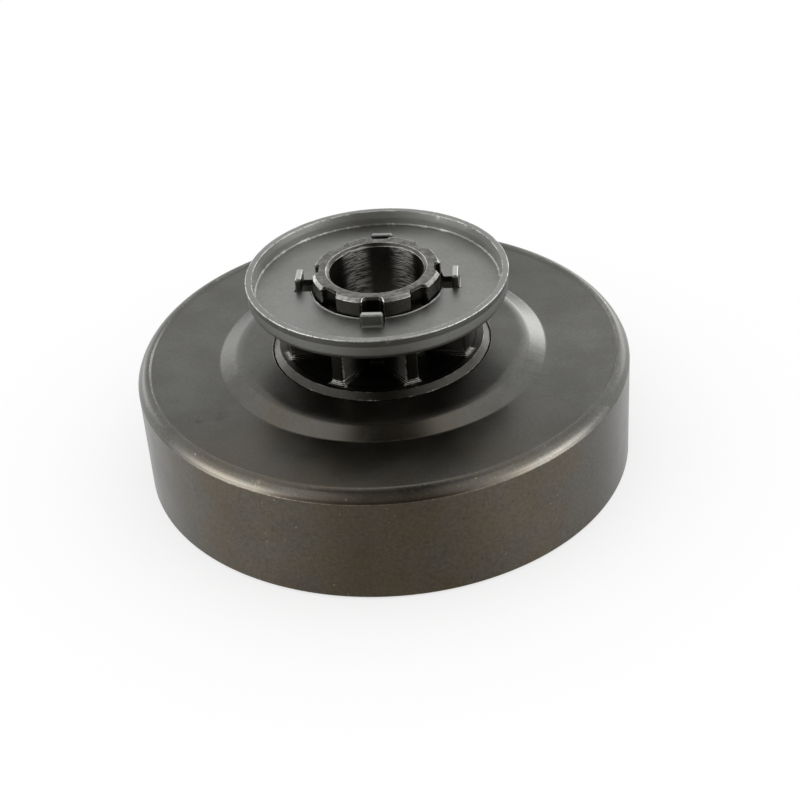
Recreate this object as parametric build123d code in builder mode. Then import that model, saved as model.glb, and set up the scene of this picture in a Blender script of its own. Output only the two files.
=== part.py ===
"""Clutch drum with a star sprocket for a chainsaw, in millimetres.

The drum is a steel cup that stands on its open rim. A star sprocket sits in the middle of its web,
and a dished cover plate on the sprocket's hub keeps the chain on the teeth. The origin is the centre
of the open rim, +Z runs up the bore, and the plate's lugs stand on the X and Y axes.
"""
import os
from math import asin, atan2, cos, radians, sin, tan

from build123d import *

os.makedirs("parts", exist_ok=True)

# Drum: turned outer wall and open rim
drum_radius = 45.0
drum_wall = 3.0
rim_chamfer = 0.5

# Drum: rounded top edge, with a narrow ledge where the turned wall ends and a low bead around the web
turned_ledge = 0.2
ledge_run = 0.15
edge_radius = 1.9
bead_width = 0.15
bead_height = 0.3

# Drum: pressed web with a raised centre
web_height = 21.75
web_thickness = 3.0
web_corner_radius = 1.5
step_outer_radius = 29.9
step_inner_radius = 26.1
step_rise = 1.65
step_blend = 1.2
web_hole_break = 0.25

# Sprocket: base that passes through the web and seats under it
spigot_radius = 19.7
spigot_clearance = 0.05
shoulder_inset = 3.1
shoulder_thickness = 2.5
shoulder_chamfer = 0.4
flange_stand = 1.0
flange_chamfer = 1.05

# Sprocket: star of teeth
tooth_count = 8
tooth_length = 9.6
tip_inset = 1.45
tip_land = 2.1
notch_depth = 1.15
root_width = 2.6
root_corner_extra = 0.1
foot_fillet = 1.0

# Sprocket: hub turned down on the star, and the bearing bore
hub_radius = 11.55
hub_height = 4.65
hub_chamfer = 0.5
bore_radius = 8.5
bore_chamfer = 0.55

# Cover plate: dished sheet on the shoulder of the teeth
plate_sheet = 1.2
plate_hole_clearance = 0.3
plate_radius = 23.55
plate_depth = 3.95
plate_lip_start = 2.6
plate_lip_flare = 0.2
plate_lip_blend = 0.5
plate_bend_inside = 0.4
plate_bend_outside = 1.0
plate_edge_break = 0.2

# Cover plate: lugs bent up out of radial slots
lug_count = 4
lug_width = 4.0
lug_relief = 0.1
lug_inner_radius = 13.4
lug_height = 2.4
lug_bend_inside = 0.4
lug_flat_run = 0.2
lug_edge_break = 0.15

# Levels along the axis, from the rim up
edge_top = web_height + bead_height
wall_height = edge_top - edge_radius - ledge_run
plateau_height = web_height + step_rise
seat_height = plateau_height - web_thickness
base_height = seat_height - shoulder_thickness
flange_height = plateau_height + flange_stand
plate_seat = flange_height + tooth_length
plate_floor = plate_seat + plate_sheet
plate_lip = plate_seat + plate_lip_start
plate_top = plate_seat + plate_depth
lug_top = plate_floor + lug_height
hub_top = plate_seat + hub_height

# Radii that follow from a wall or a fit
drum_inner_radius = drum_radius - drum_wall
edge_inner_radius = drum_radius - turned_ledge - edge_radius - bead_width
web_hole_radius = spigot_radius + spigot_clearance
shoulder_radius = step_inner_radius - shoulder_inset
tip_radius = spigot_radius - flange_chamfer - tip_inset
root_radius = hub_radius - notch_depth
root_corner_radius = foot_fillet + root_corner_extra
plate_hole_radius = hub_radius + plate_hole_clearance
plate_wall_radius = plate_radius - plate_lip_flare
lug_outer_radius = lug_inner_radius + plate_sheet
slot_end_radius = lug_outer_radius + lug_bend_inside + lug_flat_run

# The pressed web keeps its thickness, so its underside turns nearer to the axis than its upper face
step_angle = atan2(step_rise, step_outer_radius - step_inner_radius)
step_shift = web_thickness * tan(step_angle / 2)

# Half of the drum's section: each point with the radius of its corner
drum_section = [
    ((drum_radius - rim_chamfer, 0), 0),
    ((drum_radius, rim_chamfer), 0),
    ((drum_radius, wall_height), 0),
    ((drum_radius - turned_ledge, wall_height), 0),
    ((drum_radius - turned_ledge, edge_top), edge_radius),
    ((edge_inner_radius, edge_top), 0),
    ((edge_inner_radius - bead_height, web_height), 0),
    ((step_outer_radius, web_height), step_blend),
    ((step_inner_radius, plateau_height), step_blend),
    ((web_hole_radius + web_hole_break, plateau_height), 0),
    ((web_hole_radius, plateau_height - web_hole_break), 0),
    ((web_hole_radius, seat_height), 0),
    ((step_inner_radius - step_shift, seat_height), step_blend),
    ((step_outer_radius - step_shift, web_height - web_thickness), step_blend),
    ((drum_inner_radius, web_height - web_thickness), web_corner_radius),
    ((drum_inner_radius, rim_chamfer), 0),
    ((drum_inner_radius + rim_chamfer, 0), 0),
]

with BuildPart() as clutch_drum:
    with BuildSketch(Plane.XZ):
        with BuildLine():
            FilletPolyline(
                [point for point, corner in drum_section],
                radius=[corner for point, corner in drum_section],
                close=True,
            )
        make_face()
    revolve(axis=Axis.Z)

# Half of the sprocket's base: shoulder under the web, spigot through it and chamfered flange above it
base_section = [
    (0, base_height),
    (shoulder_radius - shoulder_chamfer, base_height),
    (shoulder_radius, base_height + shoulder_chamfer),
    (shoulder_radius, seat_height),
    (spigot_radius, seat_height),
    (spigot_radius, flange_height - flange_chamfer),
    (spigot_radius - flange_chamfer, flange_height),
    (0, flange_height),
]

# One gap between teeth: a flat root and straight flanks that run out through the corners of the tips
tip_angle = radians(180 / tooth_count) - asin(tip_land / 2 / tip_radius)
tip_corner = Vector(tip_radius * cos(tip_angle), tip_radius * sin(tip_angle))
root_corner = Vector(root_radius, root_width / 2)
gap_mouth = tip_corner + (tip_corner - root_corner)
tooth_gap = [
    (root_corner.X, root_corner.Y),
    (gap_mouth.X, gap_mouth.Y),
    (gap_mouth.X, -gap_mouth.Y),
    (root_corner.X, -root_corner.Y),
]

# What is turned off the star to leave the hub above the plate's seat
hub_turning = [
    (hub_radius, plate_seat),
    (tip_radius + tip_land, plate_seat),
    (tip_radius + tip_land, hub_top),
    (hub_radius - hub_chamfer, hub_top),
    (hub_radius, hub_top - hub_chamfer),
]

# Half of the bore, with a chamfer at each end
bore_section = [
    (0, base_height),
    (bore_radius + bore_chamfer, base_height),
    (bore_radius, base_height + bore_chamfer),
    (bore_radius, hub_top - bore_chamfer),
    (bore_radius + bore_chamfer, hub_top),
    (0, hub_top),
]

with BuildPart() as sprocket:
    with BuildSketch(Plane.XZ):
        with BuildLine():
            Polyline(base_section, close=True)
        make_face()
    revolve(axis=Axis.Z)
    with BuildSketch(Plane.XY.offset(flange_height)) as star:
        Circle(tip_radius)
        with PolarLocations(0, tooth_count):
            Polygon(tooth_gap, align=None, mode=Mode.SUBTRACT)
        root_corners = star.vertices().sort_by(SortBy.DISTANCE)[: 2 * tooth_count]
        fillet(root_corners, root_corner_radius)
    extrude(amount=hub_top - flange_height)
    tooth_floor = sprocket.faces().filter_by(Axis.Z).sort_by(Axis.Z)[-2]
    fillet(tooth_floor.inner_wires()[0].edges(), foot_fillet)
    for section in (hub_turning, bore_section):
        with BuildSketch(Plane.XZ):
            with BuildLine():
                Polyline(section, close=True)
            make_face()
        revolve(axis=Axis.Z, mode=Mode.SUBTRACT)

# Half of the plate's section: flat floor and an upright rim whose lip leans out a little
plate_section = [
    ((plate_hole_radius, plate_seat), 0),
    ((plate_wall_radius, plate_seat), plate_bend_outside),
    ((plate_wall_radius, plate_lip), plate_lip_blend),
    ((plate_radius, plate_top), plate_edge_break),
    ((plate_radius - plate_sheet, plate_top), plate_edge_break),
    ((plate_wall_radius - plate_sheet, plate_lip), plate_lip_blend),
    ((plate_wall_radius - plate_sheet, plate_floor), plate_bend_inside),
    ((plate_hole_radius, plate_floor), 0),
]

# Section of one lug: the strip leaves the floor at the end of its slot and turns up
lug_section = [
    ((slot_end_radius, plate_seat), 0),
    ((lug_inner_radius, plate_seat), lug_bend_inside + plate_sheet),
    ((lug_inner_radius, lug_top), lug_edge_break),
    ((lug_outer_radius, lug_top), lug_edge_break),
    ((lug_outer_radius, plate_floor), lug_bend_inside),
    ((slot_end_radius, plate_floor), 0),
]
lug_planes = [Plane.XZ.rotated((0, 0, 360 / lug_count * lug)) for lug in range(lug_count)]

with BuildPart() as cover_plate:
    with BuildSketch(Plane.XZ):
        with BuildLine():
            FilletPolyline(
                [point for point, corner in plate_section],
                radius=[corner for point, corner in plate_section],
                close=True,
            )
        make_face()
    revolve(axis=Axis.Z)
    with BuildSketch(Plane.XY.offset(plate_seat)):
        with PolarLocations((hub_radius + slot_end_radius) / 2, lug_count):
            Rectangle(slot_end_radius - hub_radius, lug_width + 2 * lug_relief)
    extrude(amount=plate_sheet, mode=Mode.SUBTRACT)
    with BuildSketch(*lug_planes):
        with BuildLine():
            FilletPolyline(
                [point for point, corner in lug_section],
                radius=[corner for point, corner in lug_section],
                close=True,
            )
        make_face()
    extrude(amount=lug_width / 2, both=True)

clutch_drum.part.label = "clutch_drum"
sprocket.part.label = "sprocket"
cover_plate.part.label = "cover_plate"
export_step(clutch_drum.part, "parts/clutch_drum.step")
export_step(sprocket.part, "parts/sprocket.step")
export_step(cover_plate.part, "parts/cover_plate.step")
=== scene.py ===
"""Builds the looks of a chainsaw clutch drum with a star sprocket around its packed model.

Lengths are in metres, in the packed model's own frame: the drum stands on its open rim, +Z runs up the
bore, and the cover plate's lugs stand on the X and Y axes. Each piece is turned again from its section
with fine edges, so that wear, nicks and turning marks have something to sit on.
"""
import math
from typing import NamedTuple

import bmesh
import bpy
from bpy.props import FloatProperty, FloatVectorProperty, IntProperty, PointerProperty
from mathutils import Matrix, Vector


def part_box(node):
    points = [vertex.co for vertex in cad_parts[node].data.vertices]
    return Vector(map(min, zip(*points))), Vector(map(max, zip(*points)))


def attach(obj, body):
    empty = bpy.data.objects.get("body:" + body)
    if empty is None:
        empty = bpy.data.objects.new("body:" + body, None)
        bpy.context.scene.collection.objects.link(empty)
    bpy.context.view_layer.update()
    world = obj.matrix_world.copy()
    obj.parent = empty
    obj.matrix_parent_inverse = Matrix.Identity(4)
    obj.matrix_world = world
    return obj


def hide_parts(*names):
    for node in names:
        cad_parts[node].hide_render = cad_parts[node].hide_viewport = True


bl_info = {
    "name": "Chainsaw clutch drum",
    "version": (1, 0, 0),
    "blender": (4, 5, 0),
    "location": "View3D > Sidebar > Clutch drum",
    "description": "Builds a clutch drum with its star sprocket and cover plate in worn dark steel",
    "category": "Object",
}

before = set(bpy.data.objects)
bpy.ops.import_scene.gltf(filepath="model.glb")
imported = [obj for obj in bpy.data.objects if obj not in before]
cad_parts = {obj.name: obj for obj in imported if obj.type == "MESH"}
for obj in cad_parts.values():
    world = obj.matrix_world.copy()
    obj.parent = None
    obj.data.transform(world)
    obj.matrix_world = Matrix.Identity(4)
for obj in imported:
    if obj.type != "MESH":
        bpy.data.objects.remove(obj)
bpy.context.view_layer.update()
drum_low, drum_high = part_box("clutch_drum")
sprocket_low, sprocket_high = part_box("sprocket")
plate_low, plate_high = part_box("cover_plate")

MM = 0.001

# Fineness of the turned meshes
ARC_STEP = math.radians(12)
GUARD = 0.12 * MM
WELD = 0.003 * MM
CREASE = math.radians(38)


def length(name, description, millimetres):
    """A length property, given in millimetres and held in metres."""
    return FloatProperty(
        name=name, description=description, default=millimetres * MM, unit="LENGTH", precision=5
    )


def share(name, description, default):
    """A property from 0 to 1."""
    return FloatProperty(name=name, description=description, default=default, min=0, max=1, subtype="FACTOR")


def bearing(name, description, degrees):
    """An angle property, given in degrees."""
    return FloatProperty(name=name, description=description, default=math.radians(degrees), subtype="ANGLE")


def colour(name, description, default):
    """A colour property."""
    return FloatVectorProperty(name=name, description=description, default=default, size=3, subtype="COLOR")


class DrumSizes(bpy.types.PropertyGroup):
    """Sizes of the drum's section"""

    radius: length("Radius", "Outside of the turned wall", 45.0)
    wall: length("Wall", "Thickness of the wall", 3.0)
    rim_chamfer: length("Rim chamfer", "Chamfer on both edges of the open rim", 0.5)
    edge_width: length("Edge width", "From the wall to the flat top of the bead", 2.1)
    edge_height: length("Edge height", "From the top of the wall to the top of the bead", 2.05)
    edge_radius: length("Edge radius", "Rounding where the edge turns level", 1.5)
    edge_lean: bearing("Edge lean", "Lean of the edge's lower part where it meets the wall", 23)
    edge_crown: bearing("Edge crown", "Lean of the edge's upper part before it turns level", 50)
    edge_bend: length("Edge bend", "Height of the bend between the two over the wall", 1.2)
    edge_bend_radius: length("Edge bend radius", "Rounding of that bend", 3.2)
    bead_width: length("Bead width", "Flat top of the bead around the web", 0.15)
    bead_height: length("Bead height", "How far the bead stands over the web", 0.3)
    web_height: length("Web height", "Upper face of the web over the rim", 21.75)
    web_thickness: length("Web thickness", "Sheet of the pressed web", 3.0)
    corner_radius: length("Corner radius", "Rounding inside the drum", 1.5)
    step_outer: length("Step outside", "Foot of the pressed step", 29.9)
    step_inner: length("Step inside", "Top of the pressed step", 26.1)
    step_blend: length("Step blend", "Rounding at the foot of the step and on its underside", 0.8)
    step_crown: length("Step crown", "Wide rounding at the top of the step", 4.5)
    hole_radius: length("Hole radius", "Hole in the web for the sprocket's base", 19.75)
    hole_break: length("Hole break", "Broken edge of that hole", 0.25)
    bead_break: length("Bead break", "Rounding of the bead's inner edge", 0.14)
    edge_break: length("Edge break", "Rounding of the edges that are left sharp", 0.08)
    columns: IntProperty(name="Columns", description="Faces around the drum", default=480, min=64)


class SprocketSizes(bpy.types.PropertyGroup):
    """Sizes of the sprocket's base, star and hub"""

    spigot_radius: length("Spigot radius", "Base that passes through the web", 19.7)
    shoulder_radius: length("Shoulder radius", "Shoulder under the web", 23.0)
    shoulder_thickness: length("Shoulder thickness", "Thickness of that shoulder", 2.5)
    shoulder_chamfer: length("Shoulder chamfer", "Chamfer of that shoulder", 0.4)
    flange_stand: length("Flange stand", "How far the flange stands over the web", 1.0)
    flange_chamfer: length("Flange chamfer", "Chamfer around the flange", 1.05)
    tooth_count: IntProperty(name="Teeth", description="Teeth of the star", default=8, min=3)
    tip_radius: length("Tip radius", "Tips of the teeth", 17.2)
    tip_land: length("Tip land", "Width of a tip", 2.1)
    root_radius: length("Root radius", "Flat roots of the gaps", 10.4)
    root_width: length("Root width", "Width of a root", 2.6)
    root_rounding: length("Root rounding", "Softening between a root and a flank", 0.8)
    foot_fillet: length("Foot fillet", "Fillet where the teeth meet the flange", 1.0)
    hub_radius: length("Hub radius", "Hub turned down on the star", 11.55)
    hub_chamfer: length("Hub chamfer", "Chamfer on top of the hub", 0.5)
    bore_radius: length("Bore radius", "Bearing bore", 8.5)
    bore_chamfer: length("Bore chamfer", "Chamfer at both ends of the bore", 0.55)
    edge_break: length("Edge break", "Rounding of the edges that are left sharp", 0.1)
    corner_rounding: length("Corner rounding", "Softening of the teeth's upright corners", 0.8)
    columns: IntProperty(name="Columns", description="Faces around the sprocket", default=768, min=64)


class PlateSizes(bpy.types.PropertyGroup):
    """Sizes of the cover plate and its lugs"""

    sheet: length("Sheet", "Thickness of the plate", 1.2)
    hole_radius: length("Hole radius", "Hole around the hub", 11.85)
    radius: length("Radius", "Outside of the rim at its top", 23.55)
    lip_start: length("Lip start", "Height over the seat where the rim's lip begins", 2.6)
    lip_flare: length("Lip flare", "How far the lip leans out", 0.2)
    lip_blend: length("Lip blend", "Rounding where the lip begins", 0.5)
    burr_height: length("Burr height", "Burr that stands around the hole", 0.24)
    burr_width: length("Burr width", "Foot of that burr", 0.3)
    bend_inside: length("Inner bend", "Rounding between the floor and the rim, inside", 0.4)
    bend_outside: length("Outer bend", "Rounding between the floor and the rim, outside", 1.0)
    edge_break: length("Edge break", "Rounding of the rim's edges", 0.12)
    hole_break: length("Hole break", "Rounding of the hole's edges", 0.1)
    lug_count: IntProperty(name="Lugs", description="Lugs bent up out of the plate", default=4, min=1)
    lug_width: length("Lug width", "Width of a lug", 4.0)
    lug_relief: length("Lug relief", "Gap on each side of a lug in its slot", 0.1)
    lug_inner_radius: length("Lug inside", "Face of a lug towards the hub", 13.4)
    lug_height: length("Lug height", "How far a lug stands over the floor", 2.4)
    lug_bend: length("Lug bend", "Rounding inside a lug's bend", 0.4)
    lug_flat_run: length("Lug flat run", "Flat stretch between a lug's bend and its slot's end", 0.2)
    lug_edge_break: length("Lug edge break", "Rounding of a lug's edges", 0.3)
    columns: IntProperty(name="Columns", description="Faces around the plate", default=900, min=64)


class DrumFinish(bpy.types.PropertyGroup):
    """Colours of the drum's dark oxidised steel"""

    oxide: colour("Oxide", "Most of the dark oxide", (0.138, 0.138, 0.13))
    oxide_deep: colour("Deep oxide", "Darker clouds in the oxide", (0.114, 0.113, 0.105))
    heat_tint: colour("Heat tint", "Brown tint on the turned wall", (0.14, 0.118, 0.089))
    # The pit colour also paints shade on the ledge's front
    pit_and_shade: colour("Pit", "Pits and smudges", (0.05, 0.048, 0.042))
    rust: colour("Rust", "Rust over the ledge", (0.1, 0.066, 0.04))
    bare: colour("Bare steel", "Steel where the oxide is worn off", (0.46, 0.432, 0.345))
    roughness: share("Roughness", "Roughness of the oxide", 0.31)
    smudge_place: FloatVectorProperty(
        name="Smudge", description="Middle of a dark smudge on the web", default=(-0.0297, -0.0217, 0.02175), size=3,
        subtype="XYZ", unit="LENGTH",
    )
    smudge_size: length("Smudge size", "Reach of that smudge", 5.0)


class SprocketFinish(bpy.types.PropertyGroup):
    """Colours of the sprocket's hardened steel"""

    oxide: colour("Oxide", "Most of the dark oxide", (0.1, 0.097, 0.089))
    oxide_deep: colour("Deep oxide", "Darker clouds in the oxide", (0.062, 0.059, 0.053))
    # The grime colour also paints shade in the gaps, on the flange's front, on the teeth's lands and under the plate
    grime_and_shade: colour("Grime", "Dark film in the notches", (0.024, 0.022, 0.018))
    bare: colour("Bare steel", "Steel where the oxide is worn off", (0.5, 0.495, 0.47))
    roughness: share("Roughness", "Roughness of the oxide", 0.31)
    bore_marks: length("Bore marks", "Depth of the marks that the boring tool left", 0.25)


class PlateFinish(bpy.types.PropertyGroup):
    """Colours of the cover plate's satin sheet"""

    satin: colour("Satin", "Most of the sheet", (0.278, 0.28, 0.268))
    satin_deep: colour("Deep satin", "Darker clouds on the sheet", (0.242, 0.243, 0.231))
    # The pit colour also paints shade on the lugs, in the slots and on the rim's outer wall
    pit_and_shade: colour("Pit", "Pits, nicks and the sides of the lugs", (0.08, 0.079, 0.073))
    bare: colour("Bare steel", "Sheared and worn edges", (0.55, 0.55, 0.53))
    roughness: share("Roughness", "Roughness of the sheet", 0.4)


class StudioSettings(bpy.types.PropertyGroup):
    """Camera, lamps and cards of the studio"""

    lens: FloatProperty(name="Lens", description="Focal length", default=77.31, unit="CAMERA")
    distance: length("Distance", "From the camera to the point that it is set by", 312.6)
    aim_height: length("Aim height", "Height of that point on the bore's axis", 27.0)
    azimuth: bearing("Azimuth", "Camera round the axis", 6)
    elevation: bearing("Elevation", "Camera over the floor", 31.57)
    roll: bearing("Roll", "Camera about its own axis", -4.46)
    picture_side: FloatProperty(name="Picture side", description="Side of the square picture", default=800.0)
    aim_across: FloatProperty(name="Aim across", description="Pixel column of the aim point", default=380.6)
    aim_down: FloatProperty(name="Aim down", description="Pixel row of the aim point", default=322.8)
    sky: share("Sky", "Strength of the even light from all round", 0.97)
    floor_light: share("Floor light", "Share of the floor's white that isn't shaded", 0.66)
    floor_side: length("Floor side", "Half of the floor's side", 4000.0)
    lamp_power: FloatProperty(name="Lamps", description="Power of each soft lamp", default=1.0, unit="POWER")
    lamp_side: length("Lamp side", "Width and height of each soft lamp", 1000.0)
    lamp_aside: length("Lamps aside", "Distance of each lamp to the left or right of the axis", 950.0)
    lamp_ahead: length("Lamps ahead", "Distance of the lamps in front of the axis", 320.0)
    lamp_height: length("Lamp height", "Height of each lamp's middle", 520.0)
    side_light: FloatProperty(name="Side cards", description="Light of the cards that make the edge glow", default=7.0)
    rim_light: FloatProperty(name="Rim cards", description="Light of the cards behind the left and right", default=2.8)
    step_light: FloatProperty(name="Step cards", description="Light of the cards that the web's step shows", default=2.95)
    step_bias: share("Step bias", "Share by which the right step card is brighter and the left one darker", 0.43)
    side_turn: bearing("Side cards' angle", "Angle of the side cards from the front", 69)
    rim_turn: bearing("Rim cards' angle", "Angle of the rim cards from the front", 135)
    step_turn: bearing("Step cards' angle", "Angle of the step cards from the front", 152)
    top_tone: colour("Top card", "Dark card over the object", (0.068, 0.06, 0.049))
    front_tone: colour("Front card", "Dark card behind the camera", (0.19, 0.17, 0.135))
    cloth_tone: colour("Cloth", "Cloth on the floor in front of the object", (0.45, 0.43, 0.39))
    top_height: length("Top height", "Height of the top card", 500.0)
    top_front: length("Top front", "Half width of the top card in front of the object", 340.0)
    top_back: length("Top back", "Half width of the top card behind the object", 125.0)
    front_solid: length("Front solid", "Half width of the front card where it begins to fade", 200.0)
    front_faded: length("Front faded", "Half width of the front card where it is gone", 500.0)
    card_reach: length("Card reach", "How far the cards stand in front of the object", 650.0)
    cloth_solid: bearing("Cloth solid", "Angle from the front where the cloth begins to fade", 8)
    cloth_faded: bearing("Cloth faded", "Angle from the front where the cloth has faded to its rest", 39)
    cloth_end: bearing("Cloth end", "Angle from the front where nothing is left of the cloth", 100)
    cloth_rest: share("Cloth rest", "Share of the cloth that is left at the sides", 0.3)


class Corner(NamedTuple):
    """A corner of a turned section, with its rounding, its wear and whether the gaps of the teeth cut it."""

    radius: float
    height: float
    rounding: float = 0.0
    wear: float = 0.0
    toothed: float = 0.0
    flare: float = 0.0


def rounded_section(corners):
    """The corners of a closed section with their roundings drawn as arcs and a guard point beside each."""
    arcs = []
    for index, corner in enumerate(corners):
        here = Vector((corner.radius, corner.height))
        before = corners[index - 1]
        after = corners[(index + 1) % len(corners)]
        back = Vector((before.radius, before.height)) - here
        ahead = Vector((after.radius, after.height)) - here
        turn = math.pi - back.angle(ahead)
        if corner.rounding == 0 or turn < 1e-4:
            arcs.append([here])
            continue
        run = corner.rounding * math.tan(turn / 2)
        start = here + back.normalized() * run
        middle = here + (back.normalized() + ahead.normalized()).normalized() * (
            corner.rounding / math.cos(turn / 2)
        )
        way = 1 if back.x * ahead.y - back.y * ahead.x > 0 else -1
        steps = max(2, math.ceil(turn / ARC_STEP))
        arcs.append(
            [middle + Matrix.Rotation(-way * turn * step / steps, 2) @ (start - middle) for step in range(steps + 1)]
        )
    points = []
    for index, corner in enumerate(corners):
        points += [corner._replace(radius=point.x, height=point.y) for point in arcs[index]]
        after = (index + 1) % len(corners)
        stretch = arcs[after][0] - arcs[index][-1]
        if stretch.length > GUARD / 3:
            step = stretch.normalized() * min(GUARD, stretch.length / 3)
            leaving = arcs[index][-1] + step
            coming = arcs[after][0] - step
            points.append(corner._replace(radius=leaving.x, height=leaving.y, wear=0))
            points.append(corners[after]._replace(radius=coming.x, height=coming.y, wear=0))
    return points


def section_mesh(name, corners):
    """A loop of points in the XZ plane that carries the section's wear, toothed and flare values."""
    points = rounded_section(corners)
    mesh = bpy.data.meshes.new(name)
    edges = [(index, (index + 1) % len(points)) for index in range(len(points))]
    mesh.from_pydata([(point.radius, 0, point.height) for point in points], edges, [])
    for field in ("wear", "toothed", "flare"):
        attribute = mesh.attributes.new(field, "FLOAT", "POINT")
        attribute.data.foreach_set("value", [getattr(point, field) for point in points])
    return mesh


class Graph:
    """Adds nodes to a tree. An input is a plain value, a node or another node's output."""

    def __init__(self, tree):
        self.tree = tree

    def add(self, kind, inputs=None, **settings):
        node = self.tree.nodes.new(kind)
        for name, value in settings.items():
            setattr(node, name, value)
        for key, value in (inputs or {}).items():
            if isinstance(value, bpy.types.Node):
                value = value.outputs[0]
            if isinstance(value, bpy.types.NodeSocket):
                self.tree.links.new(value, node.inputs[key])
            else:
                node.inputs[key].default_value = value
        return node

    def math(self, operation, *values, clamp=False):
        return self.add("ShaderNodeMath", dict(enumerate(values)), operation=operation, use_clamp=clamp).outputs[0]

    def ramp(self, value, low, high, to_low=0.0, to_high=1.0):
        inputs = {"Value": value, "From Min": low, "From Max": high, "To Min": to_low, "To Max": to_high}
        return self.add("ShaderNodeMapRange", inputs, interpolation_type="SMOOTHSTEP").outputs["Result"]

    def mix(self, factor, low, high):
        inputs = {"Factor": factor, "A": low, "B": high}
        node = self.tree.nodes.new("ShaderNodeMix")
        node.data_type = "RGBA"
        sockets = {"Factor": node.inputs[0], "A": node.inputs[6], "B": node.inputs[7]}
        for key, value in inputs.items():
            if isinstance(value, bpy.types.NodeSocket):
                self.tree.links.new(value, sockets[key])
            else:
                sockets[key].default_value = value
        return node.outputs[2]

    def noise(self, vector, scale, detail=2.0, roughness=0.5):
        inputs = {"Vector": vector, "Scale": scale, "Detail": detail, "Roughness": roughness}
        return self.add("ShaderNodeTexNoise", inputs).outputs[0]


def new_tree(name, kind, inputs, outputs):
    """A node group with named sockets, and the graph that fills it."""
    tree = bpy.data.node_groups.new(name, kind)
    for way, sockets in (("INPUT", inputs), ("OUTPUT", outputs)):
        for socket, socket_kind in sockets.items():
            tree.interface.new_socket(name=socket, in_out=way, socket_type="NodeSocket" + socket_kind)
    graph = Graph(tree)
    return graph, graph.add("NodeGroupInput").outputs


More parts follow.
